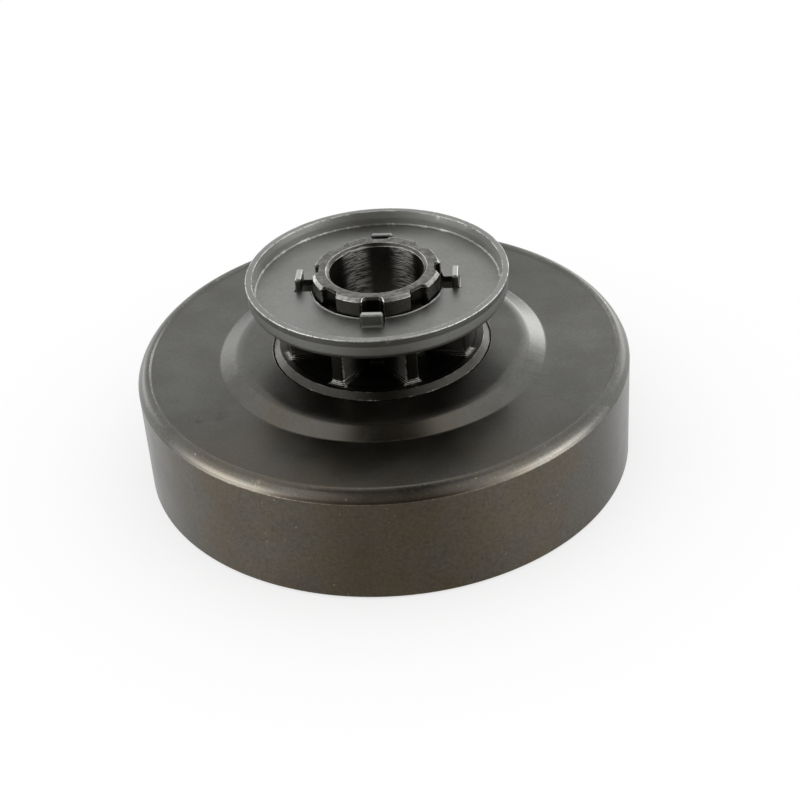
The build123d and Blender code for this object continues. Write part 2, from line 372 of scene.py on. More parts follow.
def turned_form_tree():
    """Geometry nodes that turn a section round the axis and cut its toothed rows by the gaps of a star."""
    sizes = ("Root radius", "Root rounding", "Corner rounding", "Flank distance", "Flank angle")
    sizes += ("Nick depth", "Nick scale")
    inputs = {"Section": "Geometry", "Columns": "Int", "Teeth": "Int", "Seed": "Float", "Finish": "Material"}
    inputs.update({size: "Float" for size in sizes})
    graph, given = new_tree("turned_form", "GeometryNodeTree", inputs, {"Form": "Geometry"})
    domain = graph.add("GeometryNodeAttributeDomainSize", {"Geometry": given["Section"]}, component="MESH")
    rows = domain.outputs["Point Count"]
    grid = graph.add(
        "GeometryNodeMeshGrid",
        {
            "Size X": 1.0,
            "Size Y": 1.0,
            "Vertices X": graph.math("ADD", rows, 1),
            "Vertices Y": graph.math("ADD", given["Columns"], 1),
        },
    )
    place = graph.add("ShaderNodeSeparateXYZ", {"Vector": grid.outputs["UV Map"]}).outputs
    row = graph.math("MODULO", graph.math("ROUND", graph.math("MULTIPLY", place["X"], rows)), rows)
    angle = graph.math("MULTIPLY", place["Y"], math.tau)

    def from_section(value, kind="FLOAT"):
        inputs = {"Geometry": given["Section"], "Value": value, "Index": row}
        return graph.add("GeometryNodeSampleIndex", inputs, data_type=kind).outputs["Value"]

    def section_value(name):
        stored = graph.add("GeometryNodeInputNamedAttribute", {"Name": name}, data_type="FLOAT")
        return from_section(stored.outputs["Attribute"])

    point = from_section(graph.add("GeometryNodeInputPosition"), "FLOAT_VECTOR")
    point = graph.add("ShaderNodeSeparateXYZ", {"Vector": point}).outputs
    flare = section_value("flare")

    # The star's radius at this angle: the deeper of root and flank, softened where it meets the turned form
    half_pitch = graph.math("DIVIDE", math.pi, given["Teeth"])
    turn = graph.math("PINGPONG", angle, half_pitch)
    root = graph.math("DIVIDE", graph.math("ADD", given["Root radius"], flare), graph.math("COSINE", turn))
    lean = graph.math("COSINE", graph.math("ADD", turn, given["Flank angle"]))
    flank = graph.math("DIVIDE", graph.math("ADD", given["Flank distance"], flare), lean)
    valley = graph.math("SMOOTH_MAX", root, flank, given["Root rounding"])
    toothed = graph.math("GREATER_THAN", section_value("toothed"), 0.5)
    cut = graph.math("SMOOTH_MIN", point["X"], valley, given["Corner rounding"])
    radius = graph.add("GeometryNodeSwitch", {"Switch": toothed, "False": point["X"], "True": cut}, input_type="FLOAT")
    turned = graph.add(
        "ShaderNodeCombineXYZ",
        {
            "X": graph.math("MULTIPLY", radius.outputs[0], graph.math("COSINE", angle)),
            "Y": graph.math("MULTIPLY", radius.outputs[0], graph.math("SINE", angle)),
            "Z": point["Z"],
        },
    )
    from_corner = graph.math("ABSOLUTE", graph.math("SUBTRACT", point["X"], valley))
    corner_wear = graph.math("MULTIPLY", graph.ramp(from_corner, 0, given["Corner rounding"], 0.55, 0), toothed)
    wear = graph.math("MAXIMUM", section_value("wear"), corner_wear)
    mesh = graph.add("GeometryNodeSetPosition", {"Geometry": grid.outputs["Mesh"], "Position": turned})
    mesh = graph.add("GeometryNodeStoreNamedAttribute", {"Geometry": mesh, "Name": "wear", "Value": wear})
    mesh = graph.add("GeometryNodeMergeByDistance", {"Geometry": mesh, "Distance": WELD})

    # Nicks and flats along the worn edges, always into the steel, which is where the grid's normals face
    kept_wear = graph.add("GeometryNodeInputNamedAttribute", {"Name": "wear"}, data_type="FLOAT")
    where = graph.add("GeometryNodeInputPosition").outputs[0]
    spots = graph.add(
        "ShaderNodeTexNoise",
        {"Vector": where, "W": given["Seed"], "Scale": given["Nick scale"], "Detail": 3.0},
        noise_dimensions="4D",
    )
    exposed = graph.ramp(kept_wear.outputs["Attribute"], 0.55, 0.8)
    nick = graph.math("MULTIPLY", graph.ramp(spots.outputs[0], 0.56, 0.72), exposed)
    depth = graph.math("MULTIPLY", nick, given["Nick depth"])
    normal = graph.add("GeometryNodeInputNormal").outputs[0]
    offset = graph.add("ShaderNodeVectorMath", {0: normal, "Scale": depth}, operation="SCALE")
    mesh = graph.add("GeometryNodeSetPosition", {"Geometry": mesh, "Offset": offset.outputs[0]})
    mesh = graph.add("GeometryNodeSetShadeSmooth", {"Geometry": mesh})
    mesh = graph.add("GeometryNodeRealizeInstances", {"Geometry": mesh})
    mesh = graph.add("GeometryNodeSetMaterial", {"Geometry": mesh, "Material": given["Finish"]})
    graph.add("NodeGroupOutput", {"Form": mesh})
    return graph.tree


def lug_ring_tree():
    """Geometry nodes that cut slots into a plate and set a lug in each."""
    inputs = {
        "Plate": "Geometry",
        "Lug": "Object",
        "Count": "Int",
        "Slot start": "Float",
        "Slot end": "Float",
        "Slot width": "Float",
        "Slot height": "Float",
        "Finish": "Material",
    }
    graph, given = new_tree("lug_ring", "GeometryNodeTree", inputs, {"Form": "Geometry"})
    places = graph.add("GeometryNodeMeshLine", {"Count": given["Count"], "Offset": (0, 0, 0)})
    index = graph.add("GeometryNodeInputIndex").outputs[0]
    turn = graph.math("MULTIPLY", index, graph.math("DIVIDE", math.tau, given["Count"]))
    rotation = graph.add("ShaderNodeCombineXYZ", {"Z": turn}).outputs[0]

    def ring_of(form):
        inputs = {"Points": places, "Instance": form, "Rotation": rotation}
        instances = graph.add("GeometryNodeInstanceOnPoints", inputs)
        return graph.add("GeometryNodeRealizeInstances", {"Geometry": instances})

    run = graph.math("SUBTRACT", given["Slot end"], given["Slot start"])
    middle = graph.math("MULTIPLY", graph.math("ADD", given["Slot end"], given["Slot start"]), 0.5)
    size = graph.add("ShaderNodeCombineXYZ", {"X": run, "Y": given["Slot width"], "Z": 6 * MM})
    centre = graph.add("ShaderNodeCombineXYZ", {"X": middle, "Z": given["Slot height"]})
    cutter = graph.add("GeometryNodeMeshCube", {"Size": size})
    cutter = graph.add("GeometryNodeTransform", {"Geometry": cutter, "Translation": centre})
    slotted = graph.add("GeometryNodeMeshBoolean", operation="DIFFERENCE", solver="EXACT")
    graph.tree.links.new(given["Plate"], slotted.inputs["Mesh 1"])
    graph.tree.links.new(ring_of(cutter).outputs[0], slotted.inputs["Mesh 2"])
    lug = graph.add("GeometryNodeObjectInfo", {"Object": given["Lug"]}).outputs["Geometry"]
    joined = graph.add("GeometryNodeJoinGeometry")
    graph.tree.links.new(ring_of(lug).outputs[0], joined.inputs[0])
    graph.tree.links.new(slotted.outputs["Mesh"], joined.inputs[0])
    mesh = graph.add("GeometryNodeRealizeInstances", {"Geometry": joined})
    mesh = graph.add("GeometryNodeSetMaterial", {"Geometry": mesh, "Material": given["Finish"]})
    graph.add("NodeGroupOutput", {"Form": mesh})
    return graph.tree


def add_nodes_modifier(piece, tree, values):
    """Puts a geometry node tree on a piece, with its inputs given by name."""
    modifier = piece.modifiers.new(tree.name, "NODES")
    modifier.node_group = tree
    for socket in tree.interface.items_tree:
        if socket.in_out == "INPUT" and socket.name in values:
            modifier[socket.identifier] = values[socket.name]


def new_piece(name, mesh):
    """A piece at the origin, in the scene."""
    piece = bpy.data.objects.new(name, mesh)
    bpy.context.scene.collection.objects.link(piece)
    return piece


def made_plain(piece):
    """Turns what a piece's modifiers make into its own mesh, with every face outwards."""
    graph = bpy.context.evaluated_depsgraph_get()
    mesh = bpy.data.meshes.new_from_object(piece.evaluated_get(graph), preserve_all_data_layers=True, depsgraph=graph)
    piece.modifiers.clear()
    old = piece.data
    piece.data = mesh
    bpy.data.meshes.remove(old)
    mesh.name = piece.name
    work = bmesh.new()
    work.from_mesh(mesh)
    bmesh.ops.recalc_face_normals(work, faces=work.faces)
    work.to_mesh(mesh)
    work.free()
    mesh.set_sharp_from_angle(angle=CREASE)
    return piece


def turned_piece(name, corners, finish, columns, nicks, seed, star=None):
    """A piece turned from a section, with its toothed rows cut by a star if there is one."""
    piece = new_piece(name, section_mesh(name, corners))
    tree = bpy.data.node_groups.get("turned_form") or turned_form_tree()
    values = {"Columns": columns, "Teeth": 1, "Seed": seed, "Finish": finish}
    values.update(zip(("Nick depth", "Nick scale"), nicks))
    values.update(star or {})
    add_nodes_modifier(piece, tree, values)
    return piece


def settle(piece, node):
    """Hands a finished piece to the frame in place of its CAD node."""
    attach(piece, "root")
    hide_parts(node)


def drum_corners(sizes):
    """The drum's section, from the rim's outer chamfer round to its inner one."""
    plateau = drum_high.z
    rise = plateau - sizes.web_height
    edge_top = sizes.web_height + sizes.bead_height
    wall_top = edge_top - sizes.edge_height
    bend_side = sizes.radius - sizes.edge_bend * math.tan(sizes.edge_lean)
    crown_side = bend_side - (sizes.edge_height - sizes.edge_bend) * math.tan(sizes.edge_crown)
    bead_inside = sizes.radius - sizes.edge_width - sizes.bead_width
    inside = sizes.radius - sizes.wall
    seat = plateau - sizes.web_thickness
    shift = sizes.web_thickness * math.tan(math.atan2(rise, sizes.step_outer - sizes.step_inner) / 2)
    sharp = sizes.edge_break
    return [
        Corner(sizes.radius - sizes.rim_chamfer, 0, sharp, 0.6),
        Corner(sizes.radius, sizes.rim_chamfer, sharp, 0.6),
        Corner(sizes.radius, wall_top, sharp, 0.6),
        Corner(bend_side, wall_top + sizes.edge_bend, sizes.edge_bend_radius, 0.2),
        Corner(crown_side, edge_top, sizes.edge_radius, 0.2),
        Corner(bead_inside, edge_top, sizes.bead_break, 0.45),
        Corner(bead_inside - sizes.bead_height, sizes.web_height, sharp),
        Corner(sizes.step_outer, sizes.web_height, sizes.step_blend),
        Corner(sizes.step_inner, plateau, sizes.step_crown),
        Corner(sizes.hole_radius + sizes.hole_break, plateau, sharp, 0.65),
        Corner(sizes.hole_radius, plateau - sizes.hole_break, sharp),
        Corner(sizes.hole_radius, seat, sharp),
        Corner(sizes.step_inner - shift, seat, sizes.step_blend),
        Corner(sizes.step_outer - shift, sizes.web_height - sizes.web_thickness, sizes.step_blend),
        Corner(inside, sizes.web_height - sizes.web_thickness, sizes.corner_radius),
        Corner(inside, sizes.rim_chamfer, sharp, 0.5),
        Corner(inside + sizes.rim_chamfer, 0, sharp, 0.6),
    ]


def sprocket_corners(sizes):
    """The sprocket's section, with the rows that the gaps of the star cut marked as toothed."""
    base = sprocket_low.z
    seat = base + sizes.shoulder_thickness
    flange = drum_high.z + sizes.flange_stand
    plate_seat = plate_low.z
    hub_top = sprocket_high.z
    sharp = sizes.edge_break
    corners = [
        Corner(sizes.bore_radius + sizes.bore_chamfer, base, sharp, 0.5),
        Corner(sizes.shoulder_radius - sizes.shoulder_chamfer, base, sharp, 0.4),
        Corner(sizes.shoulder_radius, base + sizes.shoulder_chamfer, sharp, 0.4),
        Corner(sizes.shoulder_radius, seat),
        Corner(sizes.spigot_radius, seat),
        Corner(sizes.spigot_radius, flange - sizes.flange_chamfer, sharp, 0.35),
        Corner(sizes.spigot_radius - sizes.flange_chamfer, flange, sharp, 0.4),
    ]
    fillet_steps = 5
    for step in range(fillet_steps + 1):
        turn = math.pi / 2 * step / fillet_steps
        flare = sizes.foot_fillet * (1 - math.sin(turn))
        height = flange + sizes.foot_fillet * (1 - math.cos(turn))
        wear = math.sin(2 * turn)
        corners.append(Corner(sizes.tip_radius + flare, height, 0, wear, 1, flare))
    return corners + [
        Corner(sizes.tip_radius, plate_seat, sharp, 0.3, 1),
        Corner(sizes.hub_radius, plate_seat, 0, 0, 1),
        Corner(sizes.hub_radius, hub_top - sizes.hub_chamfer, sharp, 0.8, 1),
        Corner(sizes.hub_radius - sizes.hub_chamfer, hub_top, sharp, 0.8, 1, -sharp),
        Corner(sizes.bore_radius + sizes.bore_chamfer, hub_top, sharp, 0.8),
        Corner(sizes.bore_radius, hub_top - sizes.bore_chamfer, sharp, 0.8),
        Corner(sizes.bore_radius, base + sizes.bore_chamfer, sharp, 0.4),
    ]


def star_values(sizes):
    """What the turned form needs to cut the gaps of the star."""
    tip_turn = math.pi / sizes.tooth_count - math.asin(sizes.tip_land / 2 / sizes.tip_radius)
    tip = Vector((math.cos(tip_turn), math.sin(tip_turn))) * sizes.tip_radius
    root = Vector((sizes.root_radius, sizes.root_width / 2))
    along = (tip - root).normalized()
    across = Vector((along.y, -along.x))
    return {
        "Teeth": sizes.tooth_count,
        "Corner rounding": sizes.corner_rounding,
        "Root radius": sizes.root_radius,
        "Root rounding": sizes.root_rounding,
        "Flank distance": across.dot(root),
        "Flank angle": math.atan2(-across.y, across.x),
    }


def plate_corners(sizes):
    """The plate's section: flat floor with a burr at its hole, and a rim whose lip leans out a little."""
    seat = plate_low.z
    floor = seat + sizes.sheet
    lip = seat + sizes.lip_start
    top = plate_high.z
    wall = sizes.radius - sizes.lip_flare
    return [
        Corner(sizes.hole_radius, seat, sizes.hole_break),
        Corner(wall, seat, sizes.bend_outside),
        Corner(wall, lip, sizes.lip_blend),
        Corner(sizes.radius, top, sizes.edge_break, 0.9),
        Corner(sizes.radius - sizes.sheet, top, sizes.edge_break, 0.7),
        Corner(wall - sizes.sheet, lip, sizes.lip_blend),
        Corner(wall - sizes.sheet, floor, sizes.bend_inside, 0.5),
        Corner(sizes.hole_radius + sizes.burr_width, floor, sizes.hole_break),
        Corner(sizes.hole_radius, floor + sizes.burr_height, sizes.hole_break, 1.0),
    ]


def slot_end(sizes):
    """Where a lug's slot ends, seen from the axis."""
    return sizes.lug_inner_radius + sizes.sheet + sizes.lug_bend + sizes.lug_flat_run


def lug_mesh(sizes):
    """One bent-up lug on the X axis, with broken edges."""
    seat = plate_low.z
    floor = seat + sizes.sheet
    top = floor + sizes.lug_height
    outer = sizes.lug_inner_radius + sizes.sheet
    sharp = sizes.lug_edge_break
    points = rounded_section(
        [
            Corner(slot_end(sizes), seat),
            Corner(sizes.lug_inner_radius, seat, sizes.lug_bend + sizes.sheet),
            Corner(sizes.lug_inner_radius, top, sharp, 0.6),
            Corner(outer, top, sharp, 0.6),
            Corner(outer, floor, sizes.lug_bend),
            Corner(slot_end(sizes), floor),
        ]
    )
    work = bmesh.new()
    wear = work.verts.layers.float.new("wear")
    half = sizes.lug_width / 2
    rings = []
    for side, inset, worn in ((-half, sharp, 0), (sharp - half, 0, 0.4), (half - sharp, 0, 0.4), (half, sharp, 0)):
        centre = Vector(((sizes.lug_inner_radius + outer) / 2, 0))
        ring = []
        for point in points:
            shrink = inset if point.height > floor + sharp else 0
            vertex = work.verts.new((point.radius, side, point.height - shrink))
            if shrink:
                vertex.co.x += math.copysign(min(shrink, abs(centre.x - point.radius)), centre.x - point.radius)
            vertex[wear] = max(point.wear if worn else 0, worn if shrink else 0)
            ring.append(vertex)
        rings.append(ring)
    count = len(points)
    for near, far in zip(rings, rings[1:]):
        for index in range(count):
            after = (index + 1) % count
            work.faces.new((near[index], near[after], far[after], far[index]))
    work.faces.new(rings[0])
    work.faces.new(reversed(rings[-1]))
    bmesh.ops.recalc_face_normals(work, faces=work.faces)
    for face in work.faces:
        face.smooth = len(face.verts) == 4
    mesh = bpy.data.meshes.new("lug")
    work.to_mesh(mesh)
    work.free()
    return mesh


def rgba(value):
    """A colour property as four numbers."""
    return (*value, 1.0)


def turned_coordinates_group():
    """Shader group: radius, height and direction round the axis of a point."""
    outputs = {"Radius": "Float", "Height": "Float", "Around": "Vector"}
    graph, given = new_tree("turned_coordinates", "ShaderNodeTree", {"Vector": "Vector"}, outputs)
    flat = graph.add("ShaderNodeVectorMath", {0: given["Vector"], 1: (1, 1, 0)}, operation="MULTIPLY").outputs[0]
    radius = graph.add("ShaderNodeVectorMath", {0: flat}, operation="LENGTH").outputs["Value"]
    around = graph.add("ShaderNodeVectorMath", {0: flat}, operation="NORMALIZE").outputs[0]
    height = graph.add("ShaderNodeSeparateXYZ", {"Vector": given["Vector"]}).outputs["Z"]
    graph.add("NodeGroupOutput", {"Radius": radius, "Height": height, "Around": around})
    return graph.tree


def clouded_oxide_group():
    """Shader group: two oxide colours in soft clouds, with a tint where it is asked for."""
    inputs = {
        "Vector": "Vector",
        "Scale": "Float",
        "Oxide": "Color",
        "Deep oxide": "Color",
        "Tint": "Color",
        "Tint share": "Float",
        "Grain": "Float",
    }
    graph, given = new_tree("clouded_oxide", "ShaderNodeTree", inputs, {"Color": "Color", "Cloud": "Float"})
    clouds = graph.noise(given["Vector"], given["Scale"], 4.0, 0.55)
    fine = graph.noise(given["Vector"], graph.math("MULTIPLY", given["Scale"], 12.0), 3.0, 0.7)
    cloud = graph.ramp(graph.math("ADD", clouds, graph.math("MULTIPLY", fine, 0.35)), 0.5, 0.85)
    oxide = graph.mix(cloud, given["Deep oxide"], given["Oxide"])
    shifted = graph.add("ShaderNodeVectorMath", {0: given["Vector"], 1: (0.31, 0.17, 0.05)}, operation="ADD")
    patches = graph.noise(shifted.outputs[0], graph.math("MULTIPLY", given["Scale"], 0.9), 5.0, 0.6)
    tinted = graph.math("MULTIPLY", graph.ramp(patches, 0.3, 0.68, 0.4, 1.0), given["Tint share"])
    dark_grain = graph.math("MULTIPLY", graph.ramp(fine, 0.3, 0.7, 1.0, 0.0), given["Grain"])
    grain = graph.mix(dark_grain, graph.mix(tinted, oxide, given["Tint"]), (0, 0, 0, 1))
    graph.add("NodeGroupOutput", {"Color": grain, "Cloud": cloud})
    return graph.tree


def edge_wear_group():
    """Shader group: where the oxide is rubbed off an edge, broken up by grain."""
    inputs = {"Wear": "Float", "Vector": "Vector", "Grain": "Float", "Reach": "Float", "Breaks": "Float"}
    graph, given = new_tree("edge_wear", "ShaderNodeTree", inputs, {"Mask": "Float"})
    coarse = graph.noise(given["Vector"], graph.math("MULTIPLY", given["Grain"], 0.14), 3.0)
    fine = graph.noise(given["Vector"], given["Grain"], 4.0, 0.65)
    grain = graph.math("ADD", graph.math("MULTIPLY", coarse, 0.6), graph.math("MULTIPLY", fine, 0.8))
    uneven = graph.math("MULTIPLY", graph.math("SUBTRACT", grain, 0.7), given["Breaks"])
    level = graph.math("ADD", graph.math("MULTIPLY", given["Wear"], given["Reach"]), uneven)
    mask = graph.math("MULTIPLY", graph.ramp(level, 0.25, 0.75), graph.ramp(given["Wear"], 0.02, 0.2))
    graph.add("NodeGroupOutput", {"Mask": mask})
    return graph.tree


def specks_group():
    """Shader group: sparse small spots of uneven size."""
    inputs = {"Vector": "Vector", "Scale": "Float", "Share": "Float", "Size": "Float"}
    graph, given = new_tree("specks", "ShaderNodeTree", inputs, {"Mask": "Float"})
    cells = graph.add("ShaderNodeTexVoronoi", {"Vector": given["Vector"], "Scale": given["Scale"]})
    luck = graph.add("ShaderNodeSeparateColor", {"Color": cells.outputs["Color"]}).outputs
    chosen = graph.math("LESS_THAN", luck["Red"], given["Share"])
    reach = graph.math("MULTIPLY", given["Size"], graph.math("ADD", luck["Green"], 0.3))
    near = graph.ramp(graph.math("DIVIDE", cells.outputs["Distance"], reach), 0.4, 1.0, 1.0, 0.0)
    graph.add("NodeGroupOutput", {"Mask": graph.math("MULTIPLY", chosen, near)})
    return graph.tree


def turning_marks_group():
    """Shader group: fine lines left by turning, which come and go round the axis."""
    inputs = {"Along": "Float", "Around": "Vector", "Lines": "Float", "Breaks": "Float"}
    graph, given = new_tree("turning_marks", "ShaderNodeTree", inputs, {"Lines": "Float"})
    around = graph.add("ShaderNodeVectorMath", {0: given["Around"], "Scale": given["Breaks"]}, operation="SCALE")
    parts = graph.add("ShaderNodeSeparateXYZ", {"Vector": around.outputs[0]}).outputs
    along = graph.math("MULTIPLY", given["Along"], given["Lines"])
    place = graph.add("ShaderNodeCombineXYZ", {"X": along, "Y": parts["X"], "Z": parts["Y"]})
    graph.add("NodeGroupOutput", {"Lines": graph.noise(place.outputs[0], 1.0, 3.0, 0.6)})
    return graph.tree


def smudge_group():
    """Shader group: a cluster of dark smudges round one place."""
    inputs = {"Vector": "Vector", "Centre": "Vector", "Size": "Float"}
    graph, given = new_tree("smudge", "ShaderNodeTree", inputs, {"Mask": "Float"})
    away = graph.add("ShaderNodeVectorMath", {0: given["Vector"], 1: given["Centre"]}, operation="DISTANCE")
    near = graph.ramp(graph.math("DIVIDE", away.outputs["Value"], given["Size"]), 0.1, 1.0, 1.0, 0.0)
    blots = graph.ramp(graph.noise(given["Vector"], graph.math("DIVIDE", 1.6, given["Size"]), 3.0), 0.48, 0.66)
    graph.add("NodeGroupOutput", {"Mask": graph.math("MULTIPLY", near, blots)})
    return graph.tree


GROUP_MAKERS = {
    "turned_coordinates": turned_coordinates_group,
    "clouded_oxide": clouded_oxide_group,
    "edge_wear": edge_wear_group,
    "specks": specks_group,
    "turning_marks": turning_marks_group,
    "smudge": smudge_group,
}


class SteelGraph(Graph):
    """The graph of a steel material, with its coordinates, its shader and the shared groups at hand."""

    def __init__(self, name):
        self.material = bpy.data.materials.new(name)
        self.material.use_nodes = True
        super().__init__(self.material.node_tree)
        self.tree.nodes.clear()
        self.shader = self.add("ShaderNodeBsdfPrincipled", {"Metallic": 1.0})
        self.add("ShaderNodeOutputMaterial", {"Surface": self.shader.outputs[0]})
        self.place = self.add("ShaderNodeTexCoord").outputs["Object"]
        self.turned = self.group("turned_coordinates", {"Vector": self.place}).outputs
        self.wear = self.add("ShaderNodeAttribute", attribute_name="wear").outputs["Fac"]

    def group(self, name, inputs):
        tree = bpy.data.node_groups.get(name) or GROUP_MAKERS[name]()
        return self.add("ShaderNodeGroup", inputs, node_tree=tree)

    def feed(self, **inputs):
        for name, value in inputs.items():
            self.tree.links.new(value, self.shader.inputs[name.replace("_", " ").title()])

    def specks(self, scale, share, size):
        inputs = {"Vector": self.place, "Scale": scale, "Share": share, "Size": size}
        return self.group("specks", inputs).outputs["Mask"]

    def bump(self, height, distance, strength, under=None):
        inputs = {"Height": height, "Distance": distance, "Strength": strength}
        if under is not None:
            inputs["Normal"] = under
        return self.add("ShaderNodeBump", inputs).outputs[0]


def drum_steel(finish, sizes):
    """Dark oxidised steel with a brown heat tint on the turned wall and bare steel on the worn edge, with painted shade
    on the web, the step and the wall by their angle from the front, and rust with painted shade on the ledge towards
    the front.
    """
    steel = SteelGraph("drum_steel")
    radius, height, around = (steel.turned[key] for key in ("Radius", "Height", "Around"))
    wall_top = sizes.web_height + sizes.bead_height - sizes.edge_height
    on_wall = steel.math(
        "MULTIPLY",
        steel.ramp(radius, sizes.radius - 0.4 * MM, sizes.radius - 0.1 * MM),
        steel.ramp(height, wall_top + 0.2 * MM, wall_top),
    )
    off_axis = steel.add("ShaderNodeSeparateXYZ", {"Vector": around}).outputs
    to_front = steel.math("MULTIPLY", off_axis["Y"], -1.0)
    wall_tint = steel.math("MULTIPLY", steel.ramp(to_front, 0.3, 0.85, 0.1, 1.0), on_wall)
    web_tint = steel.math("MULTIPLY", steel.ramp(to_front, 0.45, 0.95, 0.05, 0.75), steel.math("SUBTRACT", 1.0, on_wall))
    oxide = steel.group(
        "clouded_oxide",
        {
            "Vector": steel.place,
            "Scale": 130.0,
            "Oxide": rgba(finish.oxide),
            "Deep oxide": rgba(finish.oxide_deep),
            "Tint": rgba(finish.heat_tint),
            "Tint share": steel.math("ADD", wall_tint, web_tint),
            "Grain": steel.ramp(on_wall, 0.0, 1.0, 0.1, 0.22),
        },
    ).outputs
    wear = steel.group(
        "edge_wear", {"Wear": steel.wear, "Vector": steel.place, "Grain": 2600.0, "Reach": 0.75, "Breaks": 1.0}
    ).outputs["Mask"]
    outermost = steel.ramp(radius, sizes.radius - 0.35 * MM, sizes.radius - 0.25 * MM)
    covered = steel.math("MULTIPLY", outermost, steel.ramp(to_front, 0.75, 0.95, 0.85, 0.0))
    wear = steel.math("MULTIPLY", wear, steel.math("SUBTRACT", 1.0, covered))
    light_specks = steel.specks(900.0, 0.16, 0.18)
    pits = steel.math("MULTIPLY", steel.specks(1100.0, 0.3, 0.2), steel.ramp(on_wall, 0.0, 1.0, 0.2, 1.0))
    rust_dots = steel.math("MULTIPLY", steel.specks(640.0, 0.3, 0.24), wall_tint)
    rust_clouds = steel.ramp(steel.noise(steel.place, 150.0, 5.0, 0.6), 0.48, 0.7, 0.0, 0.4)
    rust_dots = steel.math("MAXIMUM", rust_dots, steel.math("MULTIPLY", rust_clouds, wall_tint))
    smudge = steel.group("smudge", {"Vector": steel.place, "Centre": finish.smudge_place, "Size": finish.smudge_size})
    # Rust with painted shade over the ledge under the edge, only towards the front
    from_ledge = steel.math("SUBTRACT", height, wall_top + 0.05 * MM)
    ledge_rust_and_shade = steel.math(
        "MULTIPLY",
        steel.math("MULTIPLY", steel.ramp(from_ledge, 0, 0.05 * MM), steel.ramp(from_ledge, 0.25 * MM, 0.7 * MM, 1, 0)),
        steel.math(
            "MULTIPLY", steel.ramp(radius, sizes.radius - 1 * MM, sizes.radius - 0.5 * MM), steel.ramp(to_front, 0.91, 0.965)
        ),
    )
    web_end = sizes.radius - sizes.edge_width - sizes.bead_width - sizes.bead_height
    on_web = steel.ramp(radius, web_end, web_end - 0.3 * MM)
    on_step = steel.math(
        "MULTIPLY",
        steel.ramp(radius, sizes.step_inner, sizes.step_inner + 1 * MM),
        steel.ramp(radius, sizes.step_outer, sizes.step_outer - 0.3 * MM),
    )
    # Painted shade: the flat web and the step darken towards the front, the web towards the back right, and the wall
    # towards its sides
    flat_web = steel.math("MULTIPLY", on_web, steel.ramp(on_step, 0.0, 1.0, 1.0, 0.2))
    shade = steel.math("MULTIPLY", flat_web, steel.ramp(to_front, 0.1, 0.8, 0.05, 0.24))
    front_step_shade = steel.ramp(steel.math("ADD", to_front, steel.math("MULTIPLY", off_axis["X"], 0.1)), 0.95, 1.003, 0.0, 0.3)
    shade = steel.math("MAXIMUM", shade, steel.math("MULTIPLY", on_step, front_step_shade))
    side_shade = steel.math("MULTIPLY", on_wall, steel.ramp(to_front, 0.4, 0.75, 0.21, 0.0))
    to_back = steel.ramp(to_front, 0.0, -0.7)
    back_shade = steel.math("MULTIPLY", to_back, steel.ramp(off_axis["X"], -0.7, 0.7, 0.1, 0.24))
    shade = steel.math("MAXIMUM", shade, steel.math("MULTIPLY", on_web, back_shade))
    shade = steel.math("MAXIMUM", shade, side_shade)
    base = steel.mix(shade, oxide["Color"], (0, 0, 0, 1))
    base = steel.mix(steel.math("MULTIPLY", rust_dots, 0.45), base, rgba(finish.rust))
    base = steel.mix(steel.math("MULTIPLY", pits, 0.75), base, rgba(finish.pit_and_shade))
    base = steel.mix(steel.math("MULTIPLY", smudge.outputs["Mask"], 0.8), base, rgba(finish.pit_and_shade))
    base = steel.mix(steel.math("MULTIPLY", ledge_rust_and_shade, 0.7), base, rgba(finish.rust))
    base = steel.mix(steel.math("MULTIPLY", ledge_rust_and_shade, 0.65), base, rgba(finish.pit_and_shade))
    edge_flecks = steel.math("MAXIMUM", light_specks, steel.math("MULTIPLY", steel.specks(2400.0, 0.3, 0.3), 0.6))
    edge_flecks = steel.math("MULTIPLY", edge_flecks, steel.ramp(steel.wear, 0.1, 0.2, 0.0, 0.5))
    light_specks = steel.math("MULTIPLY", light_specks, steel.math("MULTIPLY", wall_tint, 0.34))
    bare = steel.math("MAXIMUM", wear, steel.math("MAXIMUM", light_specks, edge_flecks))
    base = steel.mix(bare, base, rgba(finish.bare))
    marks = steel.group(
        "turning_marks",
        {"Along": steel.math("SUBTRACT", radius, height), "Around": around, "Lines": 4200.0, "Breaks": 3.0},
    ).outputs["Lines"]
    roughness = steel.math("ADD", finish.roughness - 0.09, steel.math("MULTIPLY", oxide["Cloud"], 0.06))
    marked = steel.math("MULTIPLY", marks, steel.ramp(on_web, 0.0, 1.0, 0.12, 0.02))
    roughness = steel.math("ADD", roughness, steel.math("ADD", marked, steel.math("MULTIPLY", on_web, steel.ramp(on_step, 0.0, 1.0, 0.08, -0.05))))
    grain = steel.noise(steel.place, 3600.0, 3.0)
    on_edge = steel.ramp(steel.wear, 0.1, 0.2)
    normal = steel.bump(steel.math("MULTIPLY", grain, steel.ramp(on_edge, 0.0, 1.0, 0.3, 1.0)), 0.011 * MM, 0.6)
    normal = steel.bump(steel.math("MULTIPLY", marks, on_edge), 0.012 * MM, 0.6, normal)
    hollow = steel.math("MULTIPLY", steel.math("MULTIPLY", pits, on_wall), -1.0)
    normal = steel.bump(hollow, 0.03 * MM, 0.5, normal)
    steel.feed(base_color=base, roughness=roughness, normal=normal)
    return steel.material


